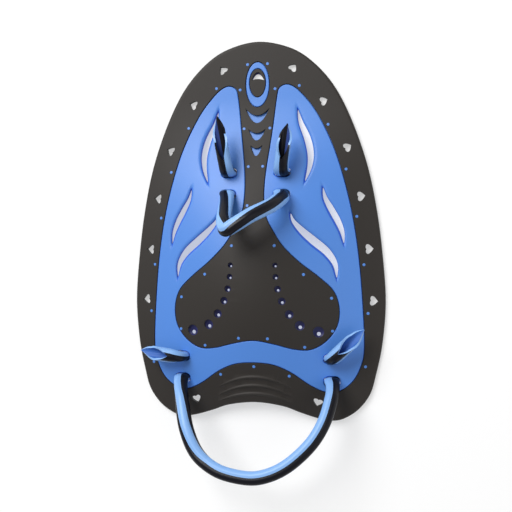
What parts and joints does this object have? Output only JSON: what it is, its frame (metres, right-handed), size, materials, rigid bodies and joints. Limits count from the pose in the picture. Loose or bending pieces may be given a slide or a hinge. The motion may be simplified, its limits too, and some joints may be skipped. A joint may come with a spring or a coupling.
{
  "type": "swim hand paddle",
  "caption": "Domed plate for hand strokes in swimming, with a soft rim, water slots, a small finger loop and a wide wrist loop of hollow strap.",
  "frame": {"origin": "middle of the underside of the box round the paddle and its straps", "axes": "+Y towards the fingertips, +Z out of the hand side, +X to the right with the hand side up"},
  "size_m": [0.15, 0.2544, 0.0447],
  "materials": {
    "blue_plastic": "satin, fine grained",
    "black_skin": "soft matte",
    "strap_rubber": "satin, blue and black in stripes along the tube"
  },
  "bodies": {
    "root": {"base_plate": "blue_plastic", "soft_rim": "black_skin", "oval_inlay": "black_skin", "finger_strap": "strap_rubber", "wrist_strap": "strap_rubber"}
  },
  "joints": []
}
